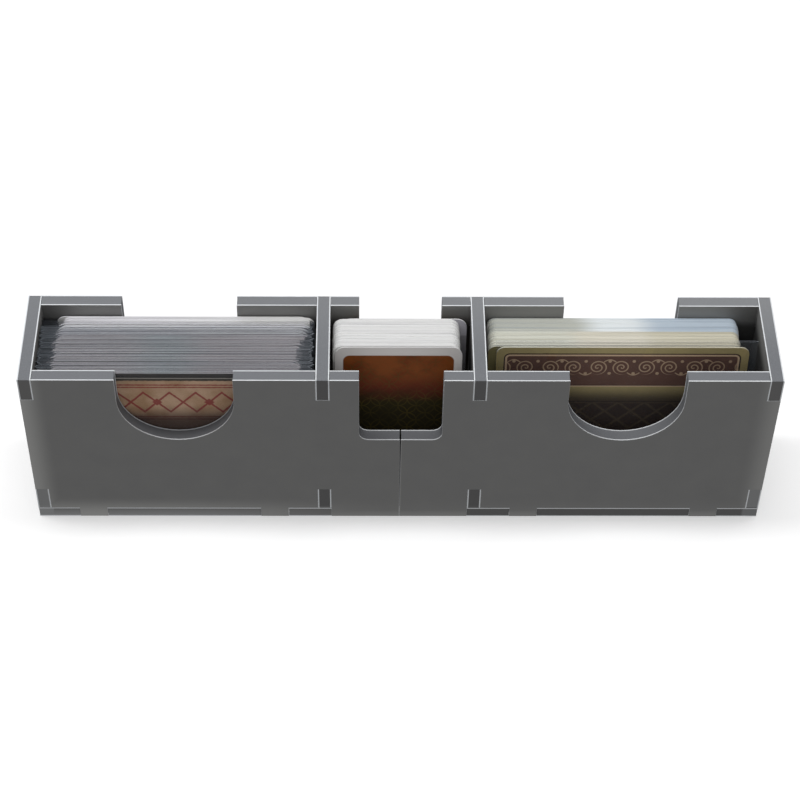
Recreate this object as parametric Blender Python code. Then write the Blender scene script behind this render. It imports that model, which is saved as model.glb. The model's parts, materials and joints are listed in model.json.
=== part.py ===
"""Foam-core card tray of a board game insert, with the three decks that stand in it.

Metres, +Z up, +Y towards the back. The origin is the middle of the underside.
The tray is cut from one thickness of foam-core sheet. Its base, its front and back
walls (each in two halves that butt at the middle), its end walls and its dividers
lock into each other with square tabs. The left and right compartments hold cards that
stand on their long edge, and the middle one holds mini cards that stand on their short edge.
Each deck lifts straight out, with a finger in the notches of the front and back walls.
"""
import math

import bmesh
import bpy

# Cards and sleeves, which set the size of the tray
CARD_LONG = 0.088
CARD_SHORT = 0.063
CARD_CORNER = 0.003
CARD_SHEET = 0.00035
SLEEVE_MARGIN = 0.003
SLEEVE_CORNER = 0.0006
SLEEVED_SHEET = 0.0006
MINI_WIDE = 0.044
MINI_TALL = 0.067
MINI_CORNER = 0.0035

# Foam-core sheet and the room inside the tray
SHEET = 0.0047
SIDE_ROOM = 0.0051
MIDDLE_ROOM = 0.005
HEAD_ROOM = 0.0015
COMPARTMENT_DEPTH = 0.0306
JOINT_GAP = 0.0003

# Tabs that lock the panels together
RIM_TAB_HEIGHT = 0.010
FOOT_TAB_HEIGHT = 0.0105
CORNER_TAB = 0.0148
WALL_TAB = 0.010
DIVIDER_TAB = 0.0154
END_CORNER_TAB = 0.010

# Finger notches in the front and back walls
SIDE_NOTCH_RADIUS = 0.0202
MIDDLE_NOTCH_WIDTH = 0.0292
MIDDLE_NOTCH_CORNER = 0.0036
NOTCH_DEPTH = 0.0309

# Decks: their thickness, and the room in front of the foot and behind the top of each
LEFT_DECK_ROOM = 0.0012
LEFT_REAR_THICKNESS = 0.0042
LEFT_PACKETS = 8
MIDDLE_DECK_THICKNESS = 0.0137
MIDDLE_FRONT_ROOM = 0.0008
MIDDLE_BACK_ROOM = 0.0040
MIDDLE_PACKETS = 5
RIGHT_DECK_THICKNESS = 0.0142
RIGHT_FRONT_ROOM = 0.0066
RIGHT_BACK_ROOM = 0.0004
RIGHT_CREAM_PACKETS = 3
RIGHT_PALE_PACKETS = 3

# How far each piece stands off the middle of its compartment, as a share of the spare
# width beside it: -1 is against the left wall and 1 against the right one
LEFT_STACK_SHARE = -0.1
LEFT_REAR_SHARE = 0.74
MIDDLE_FRONT_SHARE = -0.32
MIDDLE_STACK_SHARE = -0.62
MIDDLE_REAR_SHARE = 0.44
RIGHT_FRONT_SHARE = 0.5
RIGHT_SECOND_SHARE = -0.72
RIGHT_STACK_SHARE = -0.66
LEFT_SHUFFLE_SHARE = 0.7
MIDDLE_SHUFFLE_SHARE = 0.12
RIGHT_SHUFFLE_SHARE = 0.2
SHUFFLE_TURN = 2.4

ARC_STEPS = 24
CORNER_STEPS = 6
LEAN_PASSES = 20
WELD_DISTANCE = 0.000001

# Overall sizes that follow from the cards and the sheet
SLEEVE_LONG = CARD_LONG + SLEEVE_MARGIN
SLEEVE_SHORT = CARD_SHORT + SLEEVE_MARGIN
SIDE_WIDTH = SLEEVE_LONG + SIDE_ROOM
MIDDLE_WIDTH = MINI_WIDE + MIDDLE_ROOM
LENGTH = 2 * SIDE_WIDTH + MIDDLE_WIDTH + 4 * SHEET
DEPTH = COMPARTMENT_DEPTH + 2 * SHEET
HEIGHT = SHEET + MINI_TALL + HEAD_ROOM

# Stations along X, measured from the middle, the same to the left and to the right
DIVIDER_INNER = MIDDLE_WIDTH / 2
DIVIDER_OUTER = DIVIDER_INNER + SHEET
END_INNER = LENGTH / 2 - SHEET
END_OUTER = LENGTH / 2
SIDE_CENTRE = (DIVIDER_OUTER + END_INNER) / 2
NEAR_TAB = (DIVIDER_INNER + DIVIDER_TAB, DIVIDER_INNER + DIVIDER_TAB + WALL_TAB)
FAR_TAB = (END_OUTER - CORNER_TAB - WALL_TAB, END_OUTER - CORNER_TAB)

# Stations along Y and Z
FRONT = -DEPTH / 2
BACK = DEPTH / 2
INNER_FRONT = FRONT + SHEET
INNER_BACK = BACK - SHEET
FLOOR = SHEET
FOOT_TAB_TOP = SHEET + FOOT_TAB_HEIGHT
RIM_TAB_FOOT = HEIGHT - RIM_TAB_HEIGHT
NOTCH_FLOOR = HEIGHT - NOTCH_DEPTH
HALF_GAP = JOINT_GAP / 2

FOAM_GREY = (0.095, 0.097, 0.102, 1)
SLEEVED_GREY = (0.42, 0.43, 0.47, 1)
WHITE_CARD = (0.80, 0.79, 0.77, 1)
RUST_CARD = (0.30, 0.10, 0.03, 1)
CREAM_CARD = (0.66, 0.63, 0.52, 1)
PALE_BLUE_CARD = (0.55, 0.63, 0.72, 1)
OLIVE_CARD = (0.16, 0.14, 0.045, 1)
SAND_CARD = (0.42, 0.33, 0.23, 1)
FOAM_ROUGHNESS = 0.8
CARD_ROUGHNESS = 0.5


def clear_scene():
    """Remove every object of the scene that the script starts in."""
    for found in list(bpy.data.objects):
        bpy.data.objects.remove(found, do_unlink=True)


def make_material(name, colour, roughness):
    """Principled material with one colour."""
    material = bpy.data.materials.new(name + "_finish")
    material.use_nodes = True
    shader = material.node_tree.nodes["Principled BSDF"]
    shader.inputs["Base Color"].default_value = colour
    shader.inputs["Roughness"].default_value = roughness
    shader.inputs["Metallic"].default_value = 0
    material.diffuse_color = colour
    return material


def cut_sheet(name, outline, thickness, colour, roughness):
    """Flat piece of the given outline, centred on its own plane, as a welded mesh."""
    curve = bpy.data.curves.new(name + "_outline", "CURVE")
    curve.dimensions = "2D"
    curve.fill_mode = "BOTH"
    curve.extrude = thickness / 2
    spline = curve.splines.new("POLY")
    spline.points.add(len(outline) - 1)
    for point, (across, up) in zip(spline.points, outline):
        point.co = (across, up, 0, 1)
    spline.use_cyclic_u = True
    guide = bpy.data.objects.new(name + "_outline", curve)
    bpy.context.scene.collection.objects.link(guide)
    bpy.context.view_layer.update()
    evaluated = guide.evaluated_get(bpy.context.evaluated_depsgraph_get())
    mesh = bpy.data.meshes.new_from_object(evaluated)
    bpy.data.objects.remove(guide, do_unlink=True)
    bpy.data.curves.remove(curve)
    shape = bmesh.new()
    shape.from_mesh(mesh)
    bmesh.ops.remove_doubles(shape, verts=shape.verts, dist=WELD_DISTANCE)
    bmesh.ops.recalc_face_normals(shape, faces=shape.faces)
    shape.to_mesh(mesh)
    shape.free()
    mesh.name = name
    mesh.materials.clear()
    mesh.materials.append(make_material(name, colour, roughness))
    piece = bpy.data.objects.new(name, mesh)
    parts.objects.link(piece)
    return piece


def mirrored(outline):
    """The same outline on the other side of the middle, still counter-clockwise."""
    return [(-across, up) for across, up in reversed(outline)]


def arc(centre, radius, start, end, steps):
    """Points of an arc from one angle to another, in degrees."""
    points = []
    for step in range(steps + 1):
        angle = math.radians(start + (end - start) * step / steps)
        points.append((centre[0] + radius * math.cos(angle), centre[1] + radius * math.sin(angle)))
    return points


def rounded_card(width, height, corner):
    """Outline of a card that stands on the middle of its lower edge."""
    right = width / 2 - corner
    top = height - corner
    outline = arc((right, corner), corner, -90, 0, CORNER_STEPS)
    outline += arc((right, top), corner, 0, 90, CORNER_STEPS)
    outline += arc((-right, top), corner, 90, 180, CORNER_STEPS)
    outline += arc((-right, corner), corner, 180, 270, CORNER_STEPS)
    return outline


def long_wall_half():
    """Right half of the front or back wall, seen from the front, as (x, z) points."""
    foot = FLOOR + JOINT_GAP
    slot_inner = DIVIDER_INNER - JOINT_GAP
    slot_outer = DIVIDER_OUTER + JOINT_GAP
    end = END_INNER - JOINT_GAP
    outline = [(HALF_GAP, 0), (slot_inner, 0)]
    outline += [(slot_inner, FOOT_TAB_TOP + HALF_GAP), (slot_outer, FOOT_TAB_TOP + HALF_GAP)]
    outline += [(slot_outer, foot)]
    for start, stop in (NEAR_TAB, FAR_TAB):
        outline += [(start + HALF_GAP, foot), (start + HALF_GAP, 0)]
        outline += [(stop - HALF_GAP, 0), (stop - HALF_GAP, foot)]
    outline += [(end, foot), (end, FOOT_TAB_TOP + HALF_GAP)]
    outline += [(END_OUTER, FOOT_TAB_TOP + HALF_GAP), (END_OUTER, RIM_TAB_FOOT - HALF_GAP)]
    outline += [(end, RIM_TAB_FOOT - HALF_GAP), (end, HEIGHT)]
    outline += [(SIDE_CENTRE + SIDE_NOTCH_RADIUS, HEIGHT)]
    bowl = (SIDE_CENTRE, NOTCH_FLOOR + SIDE_NOTCH_RADIUS)
    outline += arc(bowl, SIDE_NOTCH_RADIUS, 0, -180, ARC_STEPS)
    outline += [(SIDE_CENTRE - SIDE_NOTCH_RADIUS, HEIGHT), (slot_outer, HEIGHT)]
    outline += [(slot_outer, RIM_TAB_FOOT - HALF_GAP), (slot_inner, RIM_TAB_FOOT - HALF_GAP)]
    outline += [(slot_inner, HEIGHT), (MIDDLE_NOTCH_WIDTH / 2, HEIGHT)]
    corner = (MIDDLE_NOTCH_WIDTH / 2 - MIDDLE_NOTCH_CORNER, NOTCH_FLOOR + MIDDLE_NOTCH_CORNER)
    outline += arc(corner, MIDDLE_NOTCH_CORNER, 0, -90, CORNER_STEPS)
    outline += [(HALF_GAP, NOTCH_FLOOR)]
    return outline


def cross_outline(foot_tab):
    """End wall or divider, seen from the right, as (y, z) points.

    foot_tab is half the width of the tab that goes down through the base, or 0 without one.
    """
    foot = FLOOR + JOINT_GAP
    inner = INNER_BACK - JOINT_GAP
    half = [(BACK, foot), (BACK, FOOT_TAB_TOP - HALF_GAP), (inner, FOOT_TAB_TOP - HALF_GAP)]
    half += [(inner, RIM_TAB_FOOT + HALF_GAP), (BACK, RIM_TAB_FOOT + HALF_GAP), (BACK, HEIGHT)]
    if foot_tab:
        half = [(foot_tab, 0), (foot_tab, foot)] + half
    return half + mirrored(half)


def base_outline():
    """Base panel, seen from above, as (x, y) points."""
    end = END_INNER - JOINT_GAP
    inner = INNER_BACK - JOINT_GAP
    corner = BACK - END_CORNER_TAB + HALF_GAP
    quarter = [(end, corner), (END_OUTER, corner), (END_OUTER, BACK)]
    for start, stop in (FAR_TAB, NEAR_TAB):
        quarter += [(stop + HALF_GAP, BACK), (stop + HALF_GAP, inner)]
        quarter += [(start - HALF_GAP, inner), (start - HALF_GAP, BACK)]
    quarter += [(DIVIDER_INNER, BACK), (DIVIDER_INNER, inner)]
    back_half = quarter + mirrored(quarter)
    return back_half + [(-x, -y) for x, y in back_half]


def add_long_wall(side, y):
    """Both halves of the front or the back wall, centred on the given depth."""
    half = long_wall_half()
    for name, outline in (("left", mirrored(half)), ("right", half)):
        wall = cut_sheet(f"{side}_wall_{name}", outline, SHEET, FOAM_GREY, FOAM_ROUGHNESS)
        wall.rotation_euler = (math.radians(90), 0, 0)
        wall.location = (0, y, 0)


def add_cross_wall(name, x, foot_tab):
    """One end wall or divider, centred on the given place along the tray."""
    wall = cut_sheet(name, cross_outline(foot_tab), SHEET, FOAM_GREY, FOAM_ROUGHNESS)
    wall.rotation_euler = (math.radians(90), 0, math.radians(90))
    wall.location = (x, 0, 0)


def add_tray():
    """The nine panels of the tray."""
    base = cut_sheet("base_panel", base_outline(), SHEET, FOAM_GREY, FOAM_ROUGHNESS)
    base.location = (0, 0, SHEET / 2)
    add_long_wall("front", FRONT + SHEET / 2)
    add_long_wall("back", BACK - SHEET / 2)
    end_tab = DEPTH / 2 - END_CORNER_TAB - HALF_GAP
    end_centre = END_OUTER - SHEET / 2
    divider_centre = DIVIDER_INNER + SHEET / 2
    add_cross_wall("left_end_wall", -end_centre, end_tab)
    add_cross_wall("right_end_wall", end_centre, end_tab)
    add_cross_wall("left_divider", -divider_centre, 0)
    add_cross_wall("right_divider", divider_centre, 0)


def lean_angle(height, thickness, room):
    """Angle at which a deck of this height and thickness fills the room front to back."""
    lean = 0
    for _ in range(LEAN_PASSES):
        lean = math.asin(max(0, room - thickness / math.cos(lean)) / height)
    return lean


def stack_deck(cards, y_front, lean):
    """Stand a deck on the floor from the front backwards, every piece leaning back alike.

    cards lists (name, outline, thickness, x, colour). y_front is the lowest front edge.
    """
    y = y_front
    last = None
    for name, outline, thickness, x, colour in cards:
        lift = thickness / 2 * math.sin(lean)
        if last is None:
            y += thickness / 2 * math.cos(lean)
        else:
            apart = (last + thickness) / 2 + JOINT_GAP
            climb = (thickness - last) / 2 * math.sin(lean)
            y += (apart + climb * math.sin(lean)) / math.cos(lean)
        card = cut_sheet(name, outline, thickness, colour, CARD_ROUGHNESS)
        card.rotation_euler = (math.radians(90) - lean, 0, 0)
        card.location = (x, y, FLOOR + JOINT_GAP + lift)
        last = thickness


def packets(name, count, total, outline, x, shuffle, colour):
    """Packets of equal thickness that share a total with the gaps in front of them.

    Each stands off to the left or right of x, by no more than the shuffle.
    """
    thickness = total / count - JOINT_GAP
    listed = []
    for index in range(count):
        place = x + shuffle * math.sin(index * SHUFFLE_TURN)
        listed.append((f"{name}_{index + 1}", outline, thickness, place, colour))
    return listed


def add_left_deck():
    """Sleeved cards that fill the left compartment, with a bare packet behind them."""
    sleeve = rounded_card(SLEEVE_LONG, SLEEVE_SHORT, SLEEVE_CORNER)
    card = rounded_card(CARD_LONG, CARD_SHORT, CARD_CORNER)
    spare = (SIDE_WIDTH - SLEEVE_LONG) / 2
    stack = -SIDE_CENTRE + spare * LEFT_STACK_SHARE
    rear = -SIDE_CENTRE + (SIDE_WIDTH - CARD_LONG) / 2 * LEFT_REAR_SHARE
    total = COMPARTMENT_DEPTH - LEFT_DECK_ROOM
    middle = total - SLEEVED_SHEET - JOINT_GAP - LEFT_REAR_THICKNESS
    deck = [("left_front_card", sleeve, SLEEVED_SHEET, stack, SAND_CARD)]
    shuffle = spare * LEFT_SHUFFLE_SHARE
    deck += packets("left_sleeved_packet", LEFT_PACKETS, middle, sleeve, stack, shuffle, SLEEVED_GREY)
    deck += [("left_rear_packet", card, LEFT_REAR_THICKNESS, rear, WHITE_CARD)]
    stack_deck(deck, INNER_FRONT + LEFT_DECK_ROOM / 2, 0)


def add_middle_deck():
    """Mini cards that stand upright in the middle compartment and lean back."""
    outline = rounded_card(MINI_WIDE, MINI_TALL, MINI_CORNER)
    spare = (MIDDLE_WIDTH - MINI_WIDE) / 2
    stack = spare * MIDDLE_STACK_SHARE
    room = COMPARTMENT_DEPTH - MIDDLE_FRONT_ROOM - MIDDLE_BACK_ROOM
    lean = lean_angle(MINI_TALL, MIDDLE_DECK_THICKNESS, room)
    middle = MIDDLE_DECK_THICKNESS - 2 * CARD_SHEET - JOINT_GAP
    deck = [("middle_front_card", outline, CARD_SHEET, spare * MIDDLE_FRONT_SHARE, RUST_CARD)]
    shuffle = spare * MIDDLE_SHUFFLE_SHARE
    deck += packets("middle_packet", MIDDLE_PACKETS, middle, outline, stack, shuffle, WHITE_CARD)
    deck += [("middle_rear_card", outline, CARD_SHEET, spare * MIDDLE_REAR_SHARE, WHITE_CARD)]
    stack_deck(deck, INNER_FRONT + MIDDLE_FRONT_ROOM, lean)


def add_right_deck():
    """Cards on their long edge in the right compartment, leaning on the back wall."""
    sleeve = rounded_card(SLEEVE_LONG, SLEEVE_SHORT, SLEEVE_CORNER)
    card = rounded_card(CARD_LONG, CARD_SHORT, CARD_CORNER)
    front = SIDE_CENTRE + (SIDE_WIDTH - SLEEVE_LONG) / 2 * RIGHT_FRONT_SHARE
    spare = (SIDE_WIDTH - CARD_LONG) / 2
    second = SIDE_CENTRE + spare * RIGHT_SECOND_SHARE
    stack = SIDE_CENTRE + spare * RIGHT_STACK_SHARE
    room = COMPARTMENT_DEPTH - RIGHT_FRONT_ROOM - RIGHT_BACK_ROOM
    lean = lean_angle(CARD_SHORT, RIGHT_DECK_THICKNESS, room)
    half = (RIGHT_DECK_THICKNESS - SLEEVED_SHEET - CARD_SHEET - JOINT_GAP) / 2
    deck = [("right_front_card", sleeve, SLEEVED_SHEET, front, OLIVE_CARD)]
    deck += [("right_second_card", card, CARD_SHEET, second, OLIVE_CARD)]
    shuffle = spare * RIGHT_SHUFFLE_SHARE
    deck += packets("right_cream_packet", RIGHT_CREAM_PACKETS, half, card, stack, shuffle, CREAM_CARD)
    deck += packets("right_pale_packet", RIGHT_PALE_PACKETS, half, card, stack, shuffle, PALE_BLUE_CARD)
    stack_deck(deck, INNER_FRONT + RIGHT_FRONT_ROOM, lean)


clear_scene()
parts = bpy.data.collections.new("board_game_insert")
bpy.context.scene.collection.children.link(parts)
add_tray()
add_left_deck()
add_middle_deck()
add_right_deck()
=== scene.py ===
"""Looks of a foam-core card tray and of the three decks that stand in it.

Metres, +Z up, +Y towards the back, with the origin at the middle of the underside.
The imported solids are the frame: each panel is rebuilt here as foam board with its two
paper liners, and each packet as the single cards and clear sleeves that it is made of.
"""

import json
import math
import random

import bmesh
import bpy
from mathutils import Matrix, Vector


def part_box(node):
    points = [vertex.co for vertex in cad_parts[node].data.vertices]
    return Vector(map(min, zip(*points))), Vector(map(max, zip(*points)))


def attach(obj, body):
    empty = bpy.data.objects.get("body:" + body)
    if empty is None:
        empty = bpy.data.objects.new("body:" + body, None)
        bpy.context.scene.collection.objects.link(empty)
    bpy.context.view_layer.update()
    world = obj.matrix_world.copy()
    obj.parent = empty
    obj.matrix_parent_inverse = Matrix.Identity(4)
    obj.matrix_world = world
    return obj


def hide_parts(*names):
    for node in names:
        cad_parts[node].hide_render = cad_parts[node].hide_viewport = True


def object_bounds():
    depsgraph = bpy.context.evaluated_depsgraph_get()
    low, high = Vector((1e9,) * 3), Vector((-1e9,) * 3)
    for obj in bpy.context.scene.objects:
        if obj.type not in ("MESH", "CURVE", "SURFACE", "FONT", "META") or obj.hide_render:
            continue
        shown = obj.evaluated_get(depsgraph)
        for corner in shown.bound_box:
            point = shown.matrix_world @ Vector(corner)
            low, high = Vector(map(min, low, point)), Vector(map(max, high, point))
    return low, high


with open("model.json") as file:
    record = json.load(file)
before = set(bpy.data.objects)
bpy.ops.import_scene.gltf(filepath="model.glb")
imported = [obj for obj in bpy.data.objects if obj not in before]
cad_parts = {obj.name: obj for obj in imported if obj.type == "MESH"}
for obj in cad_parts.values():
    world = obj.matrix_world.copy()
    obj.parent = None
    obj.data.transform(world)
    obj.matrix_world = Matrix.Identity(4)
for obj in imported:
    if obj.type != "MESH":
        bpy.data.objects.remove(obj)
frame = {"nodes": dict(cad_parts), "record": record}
cad_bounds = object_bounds()

MM = 0.001

# Camera, as the edges of the tray place it in the photograph
CAMERA_PLACE = Vector((-0.01167, -0.51898, 0.62577))
CAMERA_YAW = 1.2917
CAMERA_PITCH = 48.407
CAMERA_ROLL = 1.0633
FOCAL_PIXELS = 2201.72
PICTURE_PIXELS = 800
SENSOR_WIDTH = 36.0

# Floor, just below the tray, and studio light
FLOOR_SIDE = 6.0
FLOOR_DROP = 0.02 * MM
FLOOR_WHITE = 0.8
FLOOR_MOTTLE = 0.99
FLOOR_GLOW = 0.38
SKY_ABOVE = 0.3
SKY_BELOW = 0.4
SKY_BLEND = 0.1
TOP_LIGHT_PLACE = Vector((-0.2, 0.09, 1.1))
TOP_LIGHT_SIZE = (1.3, 0.2)
TOP_LIGHT_POWER = 8.5
FRONT_LIGHT_PLACE = Vector((0, -0.85, 0.95))
FRONT_LIGHT_SIZE = (1.2, 0.6)
FRONT_LIGHT_POWER = 2.0

# Foam board: its panels reach a little into the play of their joints, so that no light shows
LINER = 0.4 * MM
LINER_BEVEL = 0.04 * MM
CORE_RECESS = 0.1 * MM
JOINT_CLOSING = 0.14 * MM
JOINT_REACH = 1.0 * MM
# The front and back walls come closer still to the panels that cross them
CROSS_CLOSING = 0.1 * MM
# The seams between the wall halves open a little towards the top
SEAM_FOOT = 10.0 * MM
SEAM_OPENING = 0.2 * MM

# Reading the solids: a face that looks along an axis, equal corners, and a straight run
FACING = 0.9
SNAP = 0.001 * MM
STRAIGHT = 0.0001

# Edges that turn more than this many degrees are drawn sharp
SHARP = 35
BOARD_SHARP = 30

# The finishes count in millimetres: the inner faces of the walls and of the end walls
WALL_INSIDE = 15.3
END_INSIDE = 125.3
# Each object takes its noise from another place within this span
NOISE_SPAN = 900
# Grain and relief of printed card, and the pale border round its print
PAPER_GRAIN = 0.4
PAPER_RELIEF = 0.006
PRINT_MARGIN = 3

# Cards
CORNER_STEPS = 7
CARD_CORNER = 3.0 * MM
MINI_CORNER = 3.5 * MM
CARD_PITCH = 0.36 * MM
CARD_GAP = 0.03 * MM
PACKET_GAP = 0.3 * MM
# Bare cards lie a little off each other. EVENED is how far the packets of a deck line up.
CARD_SPREAD = 0.12 * MM
REAR_SPREAD = 0.15 * MM
REAR_SLIPS = ((11, -1.9 * MM),)
CARD_LIFT = 0.12 * MM
CARD_TURN = 0.0006
EVENED = 0.75

# Sleeves: two films, welded at the sides and the foot
FILM = 0.06 * MM
WELD = 0.5 * MM
WELD_RAMP = 0.4 * MM
SLEEVE_FOOT = 0.8 * MM
SLEEVE_LIP = 2.6 * MM
SLEEVE_SWAY = 0.04 * MM
SWAY_WAVES = (1.5, 3.5)
SLEEVE_SIDE = 4.3 * MM
SIDE_COLUMNS = 3
MIDDLE_SHARES = (0, 0.2, 0.4, 0.6, 0.8, 1)

# The sleeved cards of the left deck stand a little off each other
SLEEVED_PITCH = 0.6 * MM
SLEEVED_CARD = 0.46 * MM
WIDE_SLEEVE = 94.0 * MM
SLEEVES_MIDDLE = -77.4 * MM
SLEEVE_SHUFFLE = 0.6 * MM
SLEEVE_LOOSE = 0.05 * MM
SIDE_SPREAD = (0.55, 1.3)
SIDE_LEAST = 1.0 * MM
# Each card slips about in its sleeve, and rises in it
CARD_SLIP = 0.9 * MM
CARD_DRIFT = 0.8 * MM
DRIFT_LENGTH = 7.5 * MM
SLIP_SPREAD = 1.5 * MM
SLIP_MOST = 2.1 * MM
RISE_SPREAD = 0.12 * MM
# From the near to the rear part of the deck the cards slip to the right
REAR_FROM = 0.5 * MM
REAR_BY = 4.0 * MM
NEAR_SLIP = -0.6 * MM
REAR_SLIP = 1.4 * MM
REAR_NARROWING = 0.85
# The packets are numbered from the front, and grow paler from this one on
FIRST_PALE_PACKET = 7

# Front cards in their sleeves
FRONT_RISE = 0.1 * MM
RIGHT_FRONT_SLIP = -1.25 * MM
RIGHT_FRONT_RISE = 0.3 * MM


def ink(red, green, blue):
    """Colour of a print or a material, from the 0 to 255 values that it shows."""
    linear = []
    for value in (red, green, blue):
        share = value / 255
        linear.append(share / 12.92 if share <= 0.04045 else ((share + 0.055) / 1.055) ** 2.4)
    return (*linear, 1)


class Field:
    """A number that varies over a surface. Arithmetic with it adds nodes to its material."""

    def __init__(self, finish, socket):
        self.finish = finish
        self.socket = socket

    def __add__(self, other):
        return self.finish.math("ADD", self, other)

    def __radd__(self, other):
        return self.finish.math("ADD", self, other)

    def __sub__(self, other):
        return self.finish.math("SUBTRACT", self, other)

    def __rsub__(self, other):
        return self.finish.math("SUBTRACT", other, self)

    def __mul__(self, other):
        return self.finish.math("MULTIPLY", self, other)

    def __truediv__(self, other):
        return self.finish.math("DIVIDE", self, other)

    def __abs__(self):
        return self.finish.math("ABSOLUTE", self)


class Finish:
    """A procedural material. Its x, y and z are the piece's own coordinates in millimetres.

    The places and sizes in the finishes below are in millimetres too.
    """

    def __init__(self, name, roughness, specular=0.5):
        self.material = bpy.data.materials.new(name)
        self.material.use_nodes = True
        self.nodes = self.material.node_tree.nodes
        self.links = self.material.node_tree.links
        self.shader = self.nodes["Principled BSDF"]
        self.shader.inputs["Roughness"].default_value = roughness
        self.shader.inputs["Specular IOR Level"].default_value = specular
        coordinates = self.nodes.new("ShaderNodeTexCoord")
        self.place = self.vector("DIVIDE", coordinates.outputs["Object"], (MM, MM, MM))
        self.x, self.y, self.z = self.split(self.place)
        self.facing = self.split(coordinates.outputs["Normal"])
        chance = self.nodes.new("ShaderNodeObjectInfo").outputs["Random"]
        self.noise_place = self.vector("ADD", self.place, (Field(self, chance) * NOISE_SPAN).socket)

    def split(self, vector):
        node = self.nodes.new("ShaderNodeSeparateXYZ")
        self.put(node.inputs[0], vector)
        return [Field(self, output) for output in node.outputs]

    def put(self, socket, value):
        """Link a value to a socket if it varies, or else set it there."""
        if isinstance(value, Field):
            value = value.socket
        if isinstance(value, bpy.types.NodeSocket):
            self.links.new(value, socket)
        else:
            socket.default_value = value

    def math(self, operation, *values):
        node = self.nodes.new("ShaderNodeMath")
        node.operation = operation
        for socket, value in zip(node.inputs, values):
            self.put(socket, value)
        return Field(self, node.outputs[0])

    def vector(self, operation, first, second):
        node = self.nodes.new("ShaderNodeVectorMath")
        node.operation = operation
        self.put(node.inputs[0], first)
        self.put(node.inputs[1], second)
        return node.outputs[0]

    def noise(self, grain, detail=2.0, roughness=0.5):
        """Noise from 0 to 1 with grains of this many millimetres along x, y and z."""
        node = self.nodes.new("ShaderNodeTexNoise")
        self.put(node.inputs["Vector"], self.vector("DIVIDE", self.noise_place, grain))
        node.inputs["Scale"].default_value = 1
        node.inputs["Detail"].default_value = detail
        node.inputs["Roughness"].default_value = roughness
        return Field(self, node.outputs[0])

    def between(self, value, start, stop, low=0.0, high=1.0):
        """Rises smoothly from low to high as the value goes from start to stop."""
        node = self.nodes.new("ShaderNodeMapRange")
        node.interpolation_type = "SMOOTHSTEP"
        for socket, number in zip(node.inputs, (value, start, stop, low, high)):
            self.put(socket, number)
        return Field(self, node.outputs[0])

    def over(self, ground, colour, cover):
        """The ground colour, with another laid over it where the cover is 1."""
        node = self.nodes.new("ShaderNodeMix")
        node.data_type = "RGBA"
        self.put(node.inputs[0], cover)
        self.put(node.inputs[6], ground)
        self.put(node.inputs[7], colour)
        return node.outputs[2]

    def least(self, *values):
        return self.fold("MINIMUM", values)

    def most(self, *values):
        return self.fold("MAXIMUM", values)

    def fold(self, operation, values):
        result = values[0]
        for value in values[1:]:
            result = self.math(operation, result, value)
        return result

    def fold_back(self, value, half_period):
        """Runs from 0 to the half period and back again, over and over."""
        return self.math("PINGPONG", value, half_period)

    def distance(self, across, up):
        """Distance from the point where across and up are both 0."""
        return self.math("SQRT", across * across + up * up)

    def inside(self, signed_distance, softness=0.08):
        """1 inside a shape, 0 outside it, with a soft printed edge."""
        return self.between(signed_distance, softness, -softness)

    def rounded_box(self, across, up, half_width, half_height, corner):
        """Signed distance to a rounded rectangle that is centred on across and up."""
        over_x = abs(across) - (half_width - corner)
        over_z = abs(up) - (half_height - corner)
        outside = self.distance(self.most(over_x, 0), self.most(over_z, 0))
        return outside + self.least(self.most(over_x, over_z), 0) - corner

    def bump(self, height, depth):
        """Relief of this many millimetres."""
        node = self.nodes.new("ShaderNodeBump")
        node.inputs["Distance"].default_value = depth * MM
        self.put(node.inputs["Height"], height)
        self.put(self.shader.inputs["Normal"], node.outputs[0])

    def card_grain(self):
        """Fine relief of printed card."""
        self.bump(self.noise((PAPER_GRAIN, PAPER_GRAIN, PAPER_GRAIN), 1), PAPER_RELIEF)

    def colour(self, value):
        self.put(self.shader.inputs["Base Color"], value)


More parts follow.
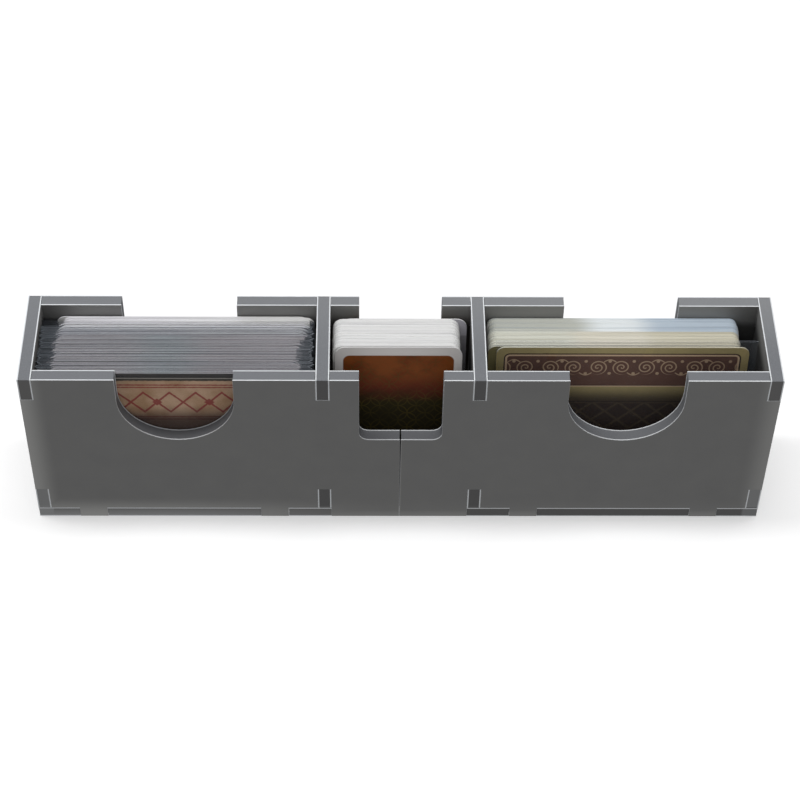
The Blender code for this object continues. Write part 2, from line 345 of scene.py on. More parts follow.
def liner_face():
    """Matt grey paper, with painted highlight at the ends, the foot and inside the back wall, a
    pale seam line, and painted shade inside the tray.
    """
    finish = Finish("liner_face", 0.75, 0.2)
    mottle = finish.noise((9, 9, 9), 3)
    grey = finish.over(ink(124, 124, 124), ink(131, 131, 130), mottle)
    # Painted highlight: the paper turns paler towards both ends, more at the left end, and towards
    # the foot, most at the left.
    end_highlight = finish.between(abs(finish.x), 121, 131)
    end_highlight = end_highlight * finish.between(finish.x, -100, 100, 0.7, 0.45)
    left_foot = finish.between(finish.z, 11, 0) * finish.between(finish.x, 0, -90, 0.1, 0.8)
    foot_highlight = finish.most(finish.between(finish.z, 5, 0, 0, 0.35), left_foot)
    # Painted highlight on the inner face of the back wall.
    back = finish.inside(abs(finish.y - WALL_INSIDE) - 0.2) * 0.3
    seam = finish.inside(abs(finish.x - 0.35) - 0.15, 0.1) * finish.between(finish.z, 0.2, 1)
    seam = seam * finish.between(abs(finish.y), 15, 15.2, 0, 0.25)
    grey = finish.over(grey, ink(185, 185, 183), finish.most(end_highlight, foot_highlight, back, seam))
    past_end = abs(finish.x) - (END_INSIDE + 0.3)
    past_wall = abs(finish.y) - (WALL_INSIDE + 0.3)
    indoors = finish.inside(finish.most(past_end, past_wall, 0.5 - finish.z), 0.1)
    # Painted shade: inside the tray the paper darkens with depth below the rim, and towards the end
    # walls.
    painted_depth_shade = finish.between(finish.z, 70, 62, 0, 0.88) * finish.between(finish.z, 48, 30, 1, 0.6)
    corners = finish.between(abs(finish.x), 108, 124, 0, 0.5)
    corners = corners * finish.inside(abs(finish.x) - 125, 0.1)
    grey = finish.over(grey, ink(40, 40, 41), finish.most(painted_depth_shade, corners) * indoors)
    # Painted shadow, darker still, inside the tray at the left end below the tops of the cards.
    left_nook_shadow = finish.between(finish.x, -112, -116) * finish.between(finish.z, 67, 65.8, 0, 0.8)
    finish.colour(finish.over(grey, ink(16, 16, 19), left_nook_shadow * indoors))
    finish.bump(finish.noise((0.25, 0.25, 0.25), 3), 0.012)
    return finish.material


def liner_edge():
    """White cut edge of a paper liner, with painted shade at mid height, where the notches are,
    more to the left.
    """
    finish = Finish("liner_edge", 0.8, 0.2)
    soil = finish.noise((3, 3, 3), 4)
    white = finish.over(ink(240, 243, 246), ink(218, 221, 224), soil)
    # Painted shade: the edges turn grey at mid height, more to the left.
    wear_and_shade = finish.inside(abs(finish.z - 48) - 14, 3)
    wear_and_shade = wear_and_shade * finish.between(finish.x, 60, -60, 0.3, 0.6)
    finish.colour(finish.over(white, ink(150, 150, 152), wear_and_shade))
    finish.bump(finish.noise((0.1, 0.1, 0.1), 2), 0.02)
    return finish.material


def foam_cut():
    """Cut face of the grey foam core, with its fine cells, and with painted highlight and painted
    shade.
    """
    finish = Finish("foam_cut", 0.85, 0.2)
    cells = finish.noise((0.35, 0.35, 0.35), 4, 0.7)
    drift = finish.noise((6, 6, 6), 2)
    grey = finish.over(ink(98, 101, 104), ink(142, 145, 149), cells)
    grey = finish.over(grey, ink(118, 118, 124), drift * 0.5)
    ahead = finish.between(finish.facing[1], -0.5, -0.9)
    grey = finish.over(grey, ink(122, 121, 119), ahead * 0.8)
    # Painted highlight: paler towards the back and the right, at the foot on the left, and at the
    # feet of the end walls.
    back = finish.between(finish.y, -12, 20) * finish.between(finish.x, -100, 100, 0.14, 0.38)
    foot = finish.between(finish.z, 6, 0) * finish.between(finish.x, 0, -90, 0, 0.9)
    end_foot_highlight = finish.between(finish.z, 21, 19) * finish.between(abs(finish.x), 124, 125, 0, 0.9)
    grey = finish.over(grey, ink(162, 163, 164), finish.most(back, foot, end_foot_highlight))
    # Painted shade: darker at the height of the notches, more to the left, on faces that look to
    # the front above the foot, and along the foot on the right.
    notch_shade = finish.between(abs(finish.z - 50), 14, 10)
    notch_shade = notch_shade * finish.between(finish.x, 60, -60, 0.35, 0.72)
    front = ahead * finish.between(finish.z, 5, 6)
    front = front * finish.between(abs(finish.x), 110, 124, 0.5, 0.25)
    low = finish.between(finish.z, 6, 5) * finish.between(finish.x, -20, 30, 0, 0.4)
    finish.colour(finish.over(grey, ink(72, 72, 74), finish.most(notch_shade, front, low)))
    finish.bump(cells, 0.06)
    return finish.material


def along(finish, tones, blend):
    """Colour that changes along x. tones lists where each colour starts and the colour."""
    colour = tones[0][1]
    for start, tone in tones[1:]:
        colour = finish.over(colour, tone, finish.between(finish.x, start - blend, start + blend))
    return colour


def stack_edge(name, tones, line, contrast, blend=4):
    """Edges of a stack of cards: the tone changes from card to card, and along the stack."""
    finish = Finish(name, 0.6, 0.3)
    colour = along(finish, tones, blend)
    bands = finish.noise((90, 1.5, 90), 2, 0.6)
    colour = finish.over(colour, line, finish.between(bands, 0.4, 0.75, 0, contrast * 0.7))
    lines = finish.noise((70, 0.3, 70), 1, 0.5)
    colour = finish.over(colour, line, finish.between(lines, 0.55, 0.75, 0, contrast))
    finish.colour(colour)
    return finish.material


def card_plane(finish, size, corner, across=0, foot=0):
    """Place on a card, in mm from its middle and its foot, and the signed distance to its rim."""
    x = finish.x - across / MM
    z = finish.z - foot / MM
    half_height = size.z / 2 / MM
    rim = finish.rounded_box(x, z - half_height, size.x / 2 / MM, half_height, corner / MM)
    return x, z, rim


def plain_print(name, field, border):
    """Card face with a mottled colour field inside a plain border."""
    finish = Finish(name, 0.4)
    _, _, rim = card_plane(finish, card_size, CARD_CORNER)
    tone = finish.noise((14, 14, 14), 3)
    field = finish.over(field, border, finish.between(tone, 0.3, 0.8, 0, 0.3))
    finish.colour(finish.over(border, field, finish.inside(rim + PRINT_MARGIN)))
    finish.card_grain()
    return finish.material


def lattice_back(name, size, corner, field, line, border):
    """Card back: a diamond lattice with a dot in every diamond, inside a pale border."""
    finish = Finish(name, 0.38)
    x, z, rim = card_plane(finish, size, corner)
    half_diamond = 3
    rising = finish.fold_back(x + z, half_diamond)
    falling = finish.fold_back(x - z, half_diamond)
    lattice = finish.least(rising, falling) - 0.22
    dots = finish.distance(rising - half_diamond, falling - half_diamond) - 0.6
    pattern = finish.inside(finish.least(lattice, dots))
    wear_and_shade = finish.noise((18, 18, 18), 3)
    ground = finish.over(field, line, finish.between(wear_and_shade, 0.4, 0.9, 0, 0.3))
    print_colour = finish.over(ground, line, pattern)
    print_colour = finish.over(line, print_colour, finish.inside(rim + 4.1))
    finish.colour(finish.over(border, print_colour, finish.inside(rim + 3.3)))
    finish.card_grain()
    return finish.material


def sand_print(size, across, foot):
    """Front of the left deck: on mottled sand, a band of red zigzags near each long side.

    The zigzags cross into diamonds, and painted shade darkens the field between the bands.
    """
    finish = Finish("sand_print", 0.4, 0.12)
    x, z, _ = card_plane(finish, size, CARD_CORNER, across, foot)
    mottle = finish.noise((16, 16, 16), 4, 0.6)
    stain = finish.noise((34, 34, 34), 2)
    ground = finish.over(ink(216, 180, 150), ink(176, 136, 98), finish.between(mottle, 0.35, 0.7))
    ground = finish.over(ground, ink(112, 92, 52), finish.between(stain, 0.5, 0.75, 0, 0.8))
    stride = 9
    card_middle = 31.5
    band_height = 19.5
    inner_rail, outer_rail = 7.6, 8.8
    level = abs(z - card_middle) - band_height
    zigzag = (finish.fold_back(x + 3, stride) - stride / 2) * 1.1
    brush = finish.noise((1.2, 1.2, 1.2), 3) * 0.7
    strokes = finish.least(abs(level - zigzag), abs(level + zigzag)) - 0.95 + brush
    rails = finish.least(abs(abs(level) - inner_rail), abs(abs(level) - outer_rail))
    rails = rails - 0.5 + brush * 0.6
    gems = finish.fold_back(x + 3 + stride / 2, stride) + abs(level) - 2.2 + brush
    red = finish.inside(finish.least(strokes, rails, gems), 0.25)
    colour = finish.over(ground, ink(150, 40, 42), red * 0.85)
    top_strip = finish.inside(size.z / MM - 1.4 + brush - z, 0.3)
    colour = finish.over(colour, ink(70, 66, 60), top_strip)
    # Painted shade for the low part of the card, mirrored so that it darkens the whole field
    # between the bands.
    shade_field = finish.between(level + stain * 6, 2, -7, 0, 0.9)
    finish.colour(finish.over(colour, ink(48, 24, 14), shade_field))
    finish.card_grain()
    return finish.material


def rust_print(size):
    """Front of the middle deck: overlapping circles on a panel from rust to dark green."""
    finish = Finish("rust_print", 0.4, 0.12)
    x, z, rim = card_plane(finish, size, MINI_CORNER)
    middle = size.z / 2 / MM
    panel = finish.rounded_box(x, z - middle, 19.2, middle - 3.4, 2.4)
    clouds = finish.noise((9, 9, 6), 3)
    colour = finish.over(ink(136, 74, 34), ink(112, 56, 26), finish.between(clouds, 0.35, 0.7))
    colour = finish.over(colour, ink(96, 40, 26), finish.between(z + clouds * 6, 60, 50))
    colour = finish.over(colour, ink(48, 42, 20), finish.between(z + clouds * 8, 54, 47))
    colour = finish.over(colour, ink(44, 40, 28), finish.between(z, 46, 36))
    radius = 3.2
    rings = []
    for shift in (0, radius):
        place_x = finish.fold_back(x + shift, radius)
        place_z = finish.fold_back(z + shift, radius)
        rings.append(abs(finish.distance(place_x, place_z) - radius))
    rings = finish.least(*rings) - 0.2
    faint = finish.inside(rings, 0.15) * finish.between(clouds, 0.35, 0.7, 0.1, 0.5)
    colour = finish.over(colour, ink(88, 76, 36), faint)
    finish.colour(finish.over(ink(230, 226, 224), colour, finish.inside(panel, 0.2)))
    finish.card_grain()
    return finish.material


def olive_print(size, across, foot):
    """Front of the right deck: a framed band of scrolls above a field of dark diamonds, darkened
    low down with painted shade.
    """
    finish = Finish("olive_print", 0.4, 0.12)
    x, z, _ = card_plane(finish, size, CARD_CORNER, across, foot)
    height = size.z / MM
    rim = 2.6
    middle = height / 2
    frame_line = finish.rounded_box(x, z - middle, size.x / 2 / MM - rim, middle - rim, 2.2)
    stem_level = z - (height - 8.8)
    field_level = z - (height - 16.7)
    grain = finish.noise((5, 5, 5), 3)
    olive = finish.over(ink(198, 180, 128), ink(178, 162, 110), grain)
    dark = ink(60, 42, 32)
    tan = ink(232, 200, 164)
    colour = finish.over(olive, dark, finish.inside(frame_line))
    colour = finish.over(colour, tan, finish.inside(frame_line + 0.5))
    scrolls = scroll_band(finish, x, stem_level, tan)
    field = diamond_field(finish, x, field_level, olive, dark, tan)
    content = finish.over(scrolls, field, finish.inside(field_level))
    colour = finish.over(colour, content, finish.inside(frame_line + 1.2))
    # Painted shade over the lower part of the card.
    finish.colour(finish.over(colour, ink(56, 38, 24), finish.between(z, 47, 39, 0, 0.92)))
    finish.card_grain()
    return finish.material


def scroll_band(finish, x, level, line):
    """Maroon band with a row of spirals on a wavy stem. level is the height above the stem."""
    ground = finish.over(ink(120, 84, 68), ink(98, 66, 52), finish.noise((8, 8, 8), 3))
    period = 8.4
    pitch = 1.5
    side = finish.fold_back(x + period / 2, period) - period / 2
    reach = finish.distance(side, level)
    turn = finish.math("ARCTAN2", level, side) / (2 * math.pi)
    coil = finish.math("FRACT", reach / pitch - turn)
    scroll = finish.most(abs(coil - 0.5) * pitch - 0.22, reach - 3.2)
    stem = abs(level + finish.math("SINE", x * (math.pi / period)) * 3.4) - 0.24
    stem = finish.most(stem, 3.1 - reach)
    berry = finish.distance(abs(side) - period / 2, abs(level) - 2.7) - 0.6
    tracery = finish.inside(finish.least(scroll, stem, berry), 0.14)
    return finish.over(ground, line, tracery * 0.65)


def diamond_field(finish, x, level, olive, dark, line):
    """Olive field under a thin double line, with dark diamonds lower down. level is below 0."""
    half_diamond = 4.6
    steepness = 1.15
    slope_up = finish.fold_back(x + level * steepness, half_diamond)
    slope_down = finish.fold_back(x - level * steepness, half_diamond)
    ribs = finish.least(slope_up, slope_down)
    low = finish.inside(level + 8.4, 0.3)
    field = finish.over(olive, ink(72, 48, 44), finish.inside(0.75 - ribs, 0.2) * low)
    field = finish.over(field, line, finish.inside(ribs - 0.2, 0.15) * low * 0.7)
    field = finish.over(field, dark, finish.inside(abs(level + 7.6) - 0.3))
    field = finish.over(field, line, finish.inside(-0.8 - level))
    return finish.over(field, dark, finish.inside(-0.35 - level))


def clear_film(name, tones, alpha, roughness, low=ink(150, 158, 168)):
    """Clear plastic of a card sleeve: low is its tone beside the card, and tones those above."""
    finish = Finish(name, roughness)
    haze = finish.noise((12, 12, 12), 3)
    above = finish.between(finish.z, 58, 62)
    colour = finish.over(low, along(finish, tones, blend=12), above)
    finish.colour(finish.over(colour, ink(205, 212, 220), haze * 0.3))
    finish.shader.inputs["Alpha"].default_value = alpha
    return finish.material


def make_object(name, shape, materials, matrix, sharp=SHARP):
    """Object from a bmesh that is drawn in the coordinates of the given matrix."""
    bmesh.ops.recalc_face_normals(shape, faces=shape.faces)
    mesh = bpy.data.meshes.new(name)
    shape.to_mesh(mesh)
    shape.free()
    for material in materials:
        mesh.materials.append(material)
    mesh.shade_smooth()
    mesh.set_sharp_from_angle(angle=math.radians(sharp))
    piece = bpy.data.objects.new(name, mesh)
    piece.matrix_world = matrix
    bpy.context.scene.collection.objects.link(piece)
    return piece


def hand_over(piece, body, node):
    """Let a piece ride on its body and stand for its CAD node, which it hides."""
    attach(piece, body)
    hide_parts(node)


def band(shape, lower, upper, slot):
    """Faces between two rings of equally many vertices."""
    faces = []
    for index in range(len(lower)):
        after = (index + 1) % len(lower)
        face = shape.faces.new((lower[index], lower[after], upper[after], upper[index]))
        face.material_index = slot
        faces.append(face)
    return faces


def cap(shape, ring, slot):
    """One face over a ring of vertices."""
    shape.faces.new(ring).material_index = slot


def add_camera():
    """Camera of the photograph, with its place, its turn and its lens."""
    yaw = math.radians(CAMERA_YAW)
    pitch = math.radians(CAMERA_PITCH)
    roll = math.radians(CAMERA_ROLL)
    reach = math.cos(pitch)
    forward = Vector((math.sin(yaw) * reach, math.cos(yaw) * reach, -math.sin(pitch)))
    level = Vector((math.cos(yaw), -math.sin(yaw), 0))
    above = level.cross(forward)
    right = level * math.cos(roll) + above * math.sin(roll)
    up = above * math.cos(roll) - level * math.sin(roll)
    data = bpy.data.cameras.new("camera")
    data.sensor_width = SENSOR_WIDTH
    data.lens = SENSOR_WIDTH * FOCAL_PIXELS / PICTURE_PIXELS
    camera = bpy.data.objects.new("camera", data)
    turn = Matrix((right, up, -forward)).transposed().to_4x4()
    camera.matrix_world = Matrix.Translation(CAMERA_PLACE) @ turn
    bpy.context.scene.collection.objects.link(camera)
    bpy.context.scene.camera = camera


def add_studio():
    """Pale floor, a dim sky and two wide soft lights, above and in front."""
    scene = bpy.context.scene
    scene.view_settings.view_transform = "Standard"
    scene.cycles.transparent_max_bounces = 64
    world = bpy.data.worlds.new("sky")
    world.use_nodes = True
    nodes = world.node_tree.nodes
    links = world.node_tree.links
    split = nodes.new("ShaderNodeSeparateXYZ")
    links.new(nodes.new("ShaderNodeTexCoord").outputs["Generated"], split.inputs[0])
    tone = nodes.new("ShaderNodeMapRange")
    links.new(split.outputs["Z"], tone.inputs[0])
    for socket, value in zip(tone.inputs[1:], (-SKY_BLEND, SKY_BLEND, SKY_BELOW, SKY_ABOVE)):
        socket.default_value = value
    links.new(tone.outputs[0], nodes["Background"].inputs["Strength"])
    nodes["Background"].inputs["Color"].default_value = (1, 1, 1, 1)
    scene.world = world
    finish = Finish("floor", 0.9, 0.1)
    shade = finish.noise((400, 400, 400), 1)
    pale = (FLOOR_WHITE, FLOOR_WHITE, FLOOR_WHITE, 1)
    cooler = (FLOOR_WHITE * FLOOR_MOTTLE, FLOOR_WHITE * FLOOR_MOTTLE, FLOOR_WHITE, 1)
    finish.colour(finish.over(pale, cooler, shade))
    finish.shader.inputs["Emission Color"].default_value = (1, 1, 1, 1)
    finish.shader.inputs["Emission Strength"].default_value = FLOOR_GLOW
    bpy.ops.mesh.primitive_plane_add(size=FLOOR_SIDE, location=(0, 0, -FLOOR_DROP))
    floor = bpy.context.object
    floor.name = "floor"
    floor.data.materials.append(finish.material)
    floor.visible_diffuse = False
    floor.visible_glossy = False
    add_light("top_light", TOP_LIGHT_PLACE, TOP_LIGHT_SIZE, TOP_LIGHT_POWER)
    add_light("front_light", FRONT_LIGHT_PLACE, FRONT_LIGHT_SIZE, FRONT_LIGHT_POWER)


def add_light(name, place, size, power):
    """Wide soft light, level from side to side, that faces the middle line of the floor."""
    light = bpy.data.lights.new(name, "AREA")
    light.shape = "RECTANGLE"
    light.size, light.size_y = size
    light.energy = power
    lamp = bpy.data.objects.new(name, light)
    lamp.location = place
    lamp.rotation_euler = Vector((0, -place.y, -place.z)).to_track_quat("-Z", "Y").to_euler()
    bpy.context.scene.collection.objects.link(lamp)


def panel_outline(name):
    """Thin axis of a flat CAD panel, its two flat axes and its outline on them."""
    low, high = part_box(name)
    size = high - low
    thin = min(range(3), key=lambda axis: size[axis])
    flat = [axis for axis in range(3) if axis != thin]
    mesh = frame["nodes"][name].data
    edges = set()
    for face in mesh.polygons:
        if face.normal[thin] < FACING:
            continue
        corners = []
        for index in face.vertices:
            place = mesh.vertices[index].co
            corners.append(tuple(round(place[axis] / SNAP) for axis in flat))
        for edge in zip(corners, corners[1:] + corners[:1]):
            if edge[::-1] in edges:
                edges.remove(edge[::-1])
            else:
                edges.add(edge)
    after = dict(edges)
    point = min(after)
    outline = []
    while point in after:
        outline.append(Vector(point) * SNAP)
        point = after.pop(point)
    return thin, flat, drop_straight(outline)


def drop_straight(outline):
    """The outline, counter-clockwise, without the points that lie on its straight runs."""
    count = len(outline)
    area = sum(outline[i - 1].cross(outline[i]) for i in range(count))
    if area < 0:
        outline = outline[::-1]
    kept = []
    for index, point in enumerate(outline):
        before = (point - outline[index - 1]).normalized()
        after = (outline[(index + 1) % count] - point).normalized()
        if abs(before.cross(after)) > STRAIGHT:
            kept.append(point)
    return kept


def grown(outline, distance):
    """A counter-clockwise outline with each side moved outwards."""
    moved = []
    count = len(outline)
    for index, point in enumerate(outline):
        before = (point - outline[index - 1]).normalized()
        after = (outline[(index + 1) % count] - point).normalized()
        mitre = Vector((before.y + after.y, -before.x - after.x)) / (1 + before.dot(after))
        moved.append(point + mitre * distance)
    return moved


def close_up(name, thin, flat, outline, cross_faces):
    """The outline grown into the play of its joints, but not past the tray.

    The front and back walls also reach towards the faces of the panels that cross them, and
    the two halves of a wall draw apart above the foot of their seam.
    """
    low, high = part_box(name)
    tray_low, tray_high = cad_bounds
    is_wall = thin == 1
    side = math.copysign(1, low.x + high.x)
    closed = []
    for point in grown(outline, JOINT_CLOSING):
        for face in cross_faces:
            if is_wall and abs(point.x - face) < JOINT_REACH:
                point.x += math.copysign(CROSS_CLOSING, face - point.x)
        corner = Vector([min(max(point[i], tray_low[flat[i]]), tray_high[flat[i]]) for i in (0, 1)])
        if is_wall and abs(corner.x) < JOINT_REACH and corner.y > SEAM_FOOT:
            corner.x += side * SEAM_OPENING
        closed.append(corner)
    return closed


def add_panel(name, finishes, cross_faces):
    """Foam board: two paper liners with white cut edges on a core that lies a little deeper."""
    thin, flat, outline = panel_outline(name)
    closed = close_up(name, thin, flat, outline, cross_faces)
    low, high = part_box(name)
    start, stop = low[thin], high[thin]
    # Depth of each ring, how far in it lies, and the finish of the faces that follow it
    face, edge, core = range(3)
    steps = [
        (start, LINER_BEVEL, edge),
        (start + LINER_BEVEL, 0, edge),
        (start + LINER, 0, edge),
        (start + LINER, CORE_RECESS, core),
        (stop - LINER, CORE_RECESS, edge),
        (stop - LINER, 0, edge),
        (stop - LINER_BEVEL, 0, edge),
        (stop, LINER_BEVEL, face),
    ]
    shape = bmesh.new()
    rings = []
    for depth, inset, slot in steps:
        ring = []
        for point in grown(closed, -inset):
            place = [0, 0, 0]
            place[thin] = depth
            place[flat[0]], place[flat[1]] = point
            ring.append(shape.verts.new(place))
        rings.append((ring, slot))
    for (lower, slot), (upper, _) in zip(rings, rings[1:]):
        band(shape, lower, upper, slot)
    cap(shape, rings[0][0], face)
    cap(shape, rings[-1][0], face)
    board = make_object(name + "_board", shape, finishes, Matrix.Identity(4), BOARD_SHARP)
    hand_over(board, "tray", name)


def add_tray():
    """The nine panels of foam board."""
    finishes = [liner_face(), liner_edge(), foam_cut()]
    cross_faces = []
    for panel in bodies["tray"]:
        if "end" in panel or "divider" in panel:
            cross_faces += [corner.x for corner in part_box(panel)]
    for panel in bodies["tray"]:
        add_panel(panel, finishes, cross_faces)


def card_frame(name):
    """Matrix and size of a CAD card or packet: x across, y into its thickness, z up it."""
    mesh = frame["nodes"][name].data
    widest = max(mesh.polygons, key=lambda face: face.area)
    inwards = widest.normal if widest.normal.y > 0 else -widest.normal
    across = Vector((1, 0, 0))
    turn = Matrix((across, inwards, across.cross(inwards)))
    places = [turn @ vertex.co for vertex in mesh.vertices]
    low = Vector([min(place[axis] for place in places) for axis in range(3)])
    high = Vector([max(place[axis] for place in places) for axis in range(3)])
    foot = Vector(((low.x + high.x) / 2, low.y, low.z))
    back = turn.transposed()
    return Matrix.Translation(back @ foot) @ back.to_4x4(), high - low


def rounded(width, height, corner):
    """Outline of a card that stands on the middle of its lower edge."""
    outline = []
    centres = ((1, 0, -90), (1, 1, 0), (-1, 1, 90), (-1, 0, 180))
    for side, top, start in centres:
        x = side * (width / 2 - corner)
        z = height - corner if top else corner
        for step in range(CORNER_STEPS + 1):
            angle = math.radians(start + 90 * step / CORNER_STEPS)
            outline.append(Vector((x + corner * math.cos(angle), z + corner * math.sin(angle))))
    return outline


def add_card(shape, outline, start, stop, across, lift, turn, slots):
    """One card between two depths, moved across, up and round in its own plane.

    slots gives the finish of its front, its edge and its back.
    """
    middle = outline[0].lerp(outline[len(outline) // 2], 0.5)
    spin = Matrix.Rotation(turn, 2)
    rings = []
    for depth in (start, stop):
        ring = []
        for point in outline:
            flat = middle + spin @ (point - middle)
            ring.append(shape.verts.new((flat.x + across, depth, flat.y + lift)))
        rings.append(ring)
    band(shape, rings[0], rings[1], slots[1])
    cap(shape, rings[0], slots[0])
    cap(shape, rings[1], slots[2])


def deck_middle(body):
    """Mean place across of the packets of a deck."""
    places = [card_frame(name)[0].translation.x for name in bodies[body] if "packet" in name]
    return sum(places) / len(places)


def add_packet(name, body, corner, spread, face, edge, back=None, slips=()):
    """Bare cards in place of a packet, each a little off its neighbours.

    spread is how far they lie off each other. slips moves single cards across: it lists
    which card and how far. back is the finish of the last card's back.
    """
    matrix, room = card_frame(name)
    lean = -matrix[2][1] / matrix[1][1]
    size = mini_size if body == "middle_deck" else card_size
    chance = random.Random(name)
    count = max(1, round(room.y / CARD_PITCH))
    spare = PACKET_GAP if count > 1 else 0
    step = (room.y + spare) / count
    outline = rounded(size.x, size.z, corner)
    moved = dict(slips)
    even = 0
    if count > 1 and body != "left_deck":
        even = (deck_middle(body) - matrix.translation.x) * EVENED
    shape = bmesh.new()
    for index in range(count):
        across = even + moved.get(index, chance.uniform(-spread, spread))
        turn = chance.uniform(-CARD_TURN, CARD_TURN)
        start = index * step - spare / 2
        lift = chance.uniform(0, CARD_LIFT) + (start + step / 2 - room.y / 2) * lean
        stop = start + step - (CARD_GAP if count > 1 else 0)
        rear = 2 if back and index == count - 1 else 0
        add_card(shape, outline, start, stop, across, lift, turn, (0, 1, rear))
    materials = [face, edge, back] if back else [face, edge]
    piece = make_object(name + "_cards", shape, materials, matrix)
    hand_over(piece, body, name)


def add_film(shape, columns, rows, depth_at, slots, across, lift):
    """One sheet of a sleeve: a thin closed slab that follows a depth.

    slots gives the finish of its middle, of its upper edge and of its sides.
    """
    sheets = []
    for extra in (0, FILM):
        sheet = []
        for z in rows:
            places = [(x + across, depth_at(x, z) + extra, z + lift) for x in columns]
            sheet.append([shape.verts.new(place) for place in places])
        sheets.append(sheet)
    front, rear = sheets
    for sheet in sheets:
        for row in range(len(rows) - 1):
            for column in range(len(columns) - 1):
                corners = (sheet[row][column], sheet[row][column + 1],
                           sheet[row + 1][column + 1], sheet[row + 1][column])
                side = min(column, len(columns) - 2 - column) < SIDE_COLUMNS
                shape.faces.new(corners).material_index = slots[2 if side else 0]
    border = []
    for sheet in (front, rear):
        left = [line[0] for line in sheet[1:-1]]
        right = [line[-1] for line in sheet[1:-1]]
        border.append(sheet[0] + right + sheet[-1][::-1] + left[::-1])
    top = rows[-1] + lift
    for face in band(shape, border[0], border[1], slots[1]):
        if min(vertex.co.z for vertex in face.verts) < top - SNAP:
            face.material_index = slots[2]


def add_sleeve(shape, width, middle, across, lift, chance, slots, sides):
    """Two films welded at the sides and the foot and open at the top, round one card.

    sides is how far in the left and the right side of the film stand clear of the card.
    """
    height = sleeve_size.z
    half_height = height * 0.5
    card = SLEEVED_CARD + FILM
    half = width / 2
    inner = half - WELD - WELD_RAMP
    left = sides[0] - half
    right = half - sides[1]
    columns = [-half, -half + WELD, -inner]
    columns += [left + (right - left) * share for share in MIDDLE_SHARES]
    columns += [inner, half - WELD, half]
    rows = [0, SLEEVE_FOOT, SLEEVE_FOOT + WELD_RAMP, half_height, height - SLEEVE_LIP, height]
    phase = chance.uniform(0, 2 * math.pi)
    waves = chance.uniform(*SWAY_WAVES)

    def opening(x, z):
        side = min(1, max(0, (half - WELD - abs(x)) / WELD_RAMP))
        foot = min(1, max(0, (z - SLEEVE_FOOT) / WELD_RAMP))
        return card / 2 * min(side, foot)

    def centre(x, z):
        above = max(0, (z - half_height) / half_height)
        return middle + SLEEVE_SWAY * above * math.sin(phase + waves * 2 * math.pi * x / width)

    def near_depth(x, z):
        return centre(x, z) - opening(x, z) - FILM

    def far_depth(x, z):
        return centre(x, z) + opening(x, z)

    for depth_at in (near_depth, far_depth):
        add_film(shape, columns, rows, depth_at, slots, across, lift)


def add_sleeved_packet(name):
    """Sleeved cards in place of a packet of the left deck."""
    matrix, room = card_frame(name)
    number = int(name[-1])
    edge, rim, card_rise = sleeved_looks[max(0, number - FIRST_PALE_PACKET + 1)]
    chance = random.Random(name)
    count = max(1, round(room.y / SLEEVED_PITCH))
    step = (room.y + PACKET_GAP) / count
    outline = rounded(card_size.x, card_size.z, CARD_CORNER)
    shape = bmesh.new()
    for index in range(count):
        lift = chance.uniform(0, CARD_LIFT)
        middle = (index + 0.5) * step - PACKET_GAP / 2
        middle += chance.uniform(-SLEEVE_LOOSE, SLEEVE_LOOSE)
        across = SLEEVES_MIDDLE - matrix.translation.x
        across += chance.uniform(-SLEEVE_SHUFFLE, SLEEVE_SHUFFLE)
        drift = math.sin(2 * math.pi * (matrix.translation.y + middle) / DRIFT_LENGTH)
        rear = (matrix.translation.y + middle - REAR_FROM) / (REAR_BY - REAR_FROM)
        rear = min(max(rear, 0), 1)
        slip = CARD_SLIP + CARD_DRIFT * drift + chance.uniform(-SLIP_SPREAD, SLIP_SPREAD)
        slip += NEAR_SLIP + (REAR_SLIP - NEAR_SLIP) * rear
        slip = min(max(slip, -SLIP_MOST), SLIP_MOST)
        rise = card_rise + chance.uniform(-RISE_SPREAD, RISE_SPREAD)
        front = middle - SLEEVED_CARD / 2
        back = front + SLEEVED_CARD
        add_card(shape, outline, front, back, across + slip, lift + rise, 0, (0, 1, 0))
        left, right = [SLEEVE_SIDE * chance.uniform(*SIDE_SPREAD) for _ in range(2)]
        right = max(right * (1 - REAR_NARROWING * rear), SIDE_LEAST)
        add_sleeve(shape, WIDE_SLEEVE, middle, across, lift, chance, (2, 3, 4), (left, right))
    materials = [sleeved_face, edge, film, rim, film_side]
    piece = make_object(name + "_cards", shape, materials, matrix)
    hand_over(piece, "left_deck", name)


def add_front_sleeve(name, body, across, rise, print_finish, edge):
    """The front card of a deck in its sleeve."""
    matrix, room = card_frame(name)
    chance = random.Random(name)
    outline = rounded(card_size.x, card_size.z, CARD_CORNER)
    shape = bmesh.new()
    middle = room.y / 2
    front = middle - SLEEVED_CARD / 2
    add_card(shape, outline, front, front + SLEEVED_CARD, across, rise, 0, (0, 1, 0))
    sides = (SLEEVE_SIDE, SLEEVE_SIDE)
    add_sleeve(shape, sleeve_size.x, middle, 0, 0, chance, (2, 3, 2), sides)
    materials = [print_finish, edge, film, film_rim]
    piece = make_object(name + "_sleeved", shape, materials, matrix)
    hand_over(piece, body, name)


bodies = frame["record"]["behaviour"]["bodies"]
_, card_size = card_frame("right_second_card")
_, sleeve_size = card_frame("left_front_card")
_, mini_size = card_frame("middle_front_card")

add_camera()
add_studio()
add_tray()

# Clear films: their middle, their upper edge, which is made paler and denser as a painted
# highlight, and their sides
rim_glint_tones = [(-47, ink(138, 146, 156)), (30, ink(166, 172, 182))]
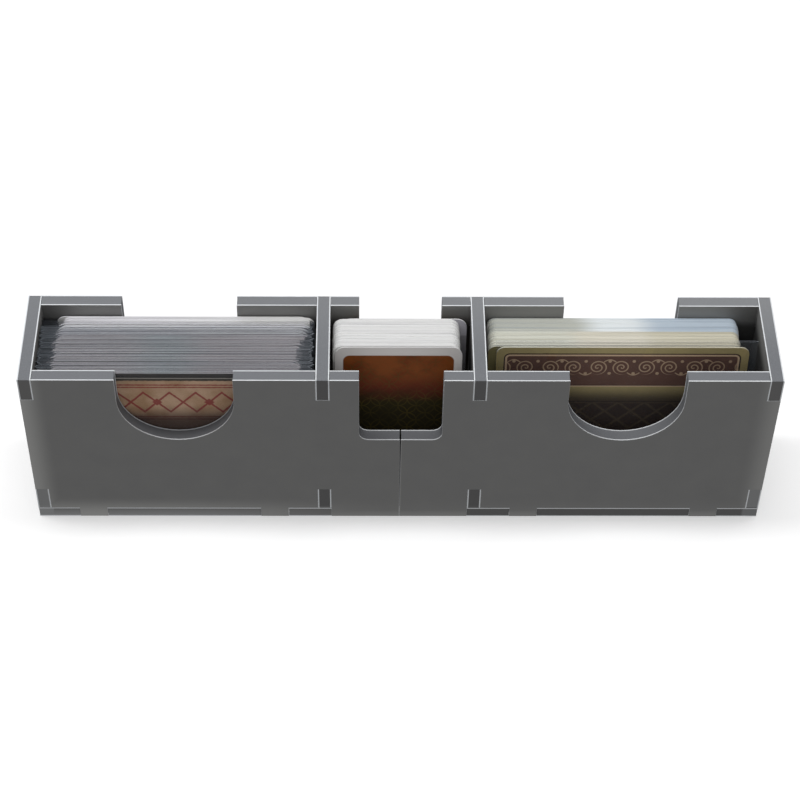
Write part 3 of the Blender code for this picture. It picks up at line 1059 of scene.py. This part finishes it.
# Painted shade: above the cards the film sides are dark, darkest at the left end.
side_shade_tones = [(-47, ink(21, 26, 34)), (20, ink(90, 96, 104))]
film = clear_film("clear_film", [(-47, ink(142, 146, 152))], 0.05, 0.3)
film_rim = clear_film("film_rim", rim_glint_tones, 0.8, 0.4)
film_side = clear_film("film_side", side_shade_tones, 0.28, 0.5, low=ink(232, 236, 240))

# Plain faces between the cards
sleeved_face = plain_print("sleeved_face", ink(54, 42, 38), ink(62, 52, 48))
white_face = plain_print("white_face", ink(205, 203, 200), ink(235, 235, 232))
grey_face = plain_print("grey_face", ink(160, 158, 164), ink(186, 184, 192))
olive_face = plain_print("olive_face", ink(106, 98, 70), ink(142, 134, 94))

# Edges of the stacks
sleeved_tones = [(-44, ink(176, 172, 175)), (-12, ink(164, 170, 173)), (6, ink(177, 171, 174))]
sleeved_edge = stack_edge("sleeved_edge", sleeved_tones, ink(112, 113, 120), 0.8, blend=8)
grey_tones = [(-44, ink(196, 196, 202)), (2, ink(212, 212, 215))]
sleeved_edge_7 = stack_edge("sleeved_edge_7", grey_tones, ink(120, 121, 128), 0.6)
light_tones = [(-44, ink(250, 250, 253))]
sleeved_edge_8 = stack_edge("sleeved_edge_8", light_tones, ink(176, 176, 184), 0.3)
bare_tones = [(-44, ink(232, 231, 236)), (-4, ink(236, 236, 238)), (18, ink(216, 216, 215))]
bare_edge = stack_edge("bare_edge", bare_tones, ink(160, 158, 164), 0.6, blend=8)
white_edge = stack_edge("white_edge", [(-22, ink(236, 236, 236))], ink(170, 170, 176), 0.6)
cream_tones = [(-44, ink(220, 221, 208)), (-14, ink(230, 225, 209)), (12, ink(218, 213, 192))]
cream_edge = stack_edge("cream_edge", cream_tones, ink(150, 142, 118), 0.6)
pale_tones = [(-44, ink(190, 192, 182)), (-9, ink(242, 248, 250)), (11, ink(188, 203, 217))]
pale_edge = stack_edge("pale_edge", pale_tones, ink(130, 142, 158), 0.6, blend=6)
dim_edge = stack_edge("dim_edge", [(-44, ink(120, 116, 110))], ink(70, 66, 62), 0.5)

# Edge, upper film edge and rise of the sleeved cards: the near packets and the last two
sleeved_looks = [
    (sleeved_edge, film_rim, 1.9 * MM),
    (sleeved_edge_7, film_rim, 1.5 * MM),
    (sleeved_edge_8, film, 1.0 * MM),
]

# Prints of the front cards and of the backs that show from behind
left_print = sand_print(card_size, CARD_SLIP, FRONT_RISE)
middle_print = rust_print(mini_size)
right_print = olive_print(card_size, RIGHT_FRONT_SLIP, RIGHT_FRONT_RISE)
slate_back = lattice_back("slate_back", card_size, CARD_CORNER,
                          ink(84, 92, 112), ink(160, 164, 172), ink(222, 220, 214))
rust_back = lattice_back("rust_back", mini_size, MINI_CORNER,
                         ink(128, 62, 36), ink(184, 138, 92), ink(226, 222, 214))
blue_back = lattice_back("blue_back", card_size, CARD_CORNER,
                         ink(96, 124, 152), ink(190, 204, 216), ink(226, 230, 232))

add_front_sleeve("left_front_card", "left_deck", CARD_SLIP, FRONT_RISE,
                 left_print, dim_edge)
add_front_sleeve("right_front_card", "right_deck", RIGHT_FRONT_SLIP, RIGHT_FRONT_RISE,
                 right_print, cream_edge)
for packet in bodies["left_deck"]:
    if packet.startswith("left_sleeved"):
        add_sleeved_packet(packet)
add_packet("left_rear_packet", "left_deck", CARD_CORNER, REAR_SPREAD,
           white_face, bare_edge, slate_back, REAR_SLIPS)
add_packet("middle_front_card", "middle_deck", MINI_CORNER, 0,
           middle_print, white_edge)
add_packet("middle_rear_card", "middle_deck", MINI_CORNER, 0,
           grey_face, white_edge, rust_back)
for packet in bodies["middle_deck"]:
    if "packet" in packet:
        add_packet(packet, "middle_deck", MINI_CORNER, CARD_SPREAD,
                   white_face, white_edge)
add_packet("right_second_card", "right_deck", CARD_CORNER, 0,
           olive_face, cream_edge)
for packet in bodies["right_deck"]:
    if "cream" in packet:
        add_packet(packet, "right_deck", CARD_CORNER, CARD_SPREAD,
                   white_face, cream_edge)
    elif "pale" in packet:
        # Only the last packet shows a back
        back = blue_back if packet.endswith("3") else None
        add_packet(packet, "right_deck", CARD_CORNER, CARD_SPREAD,
                   white_face, pale_edge, back)
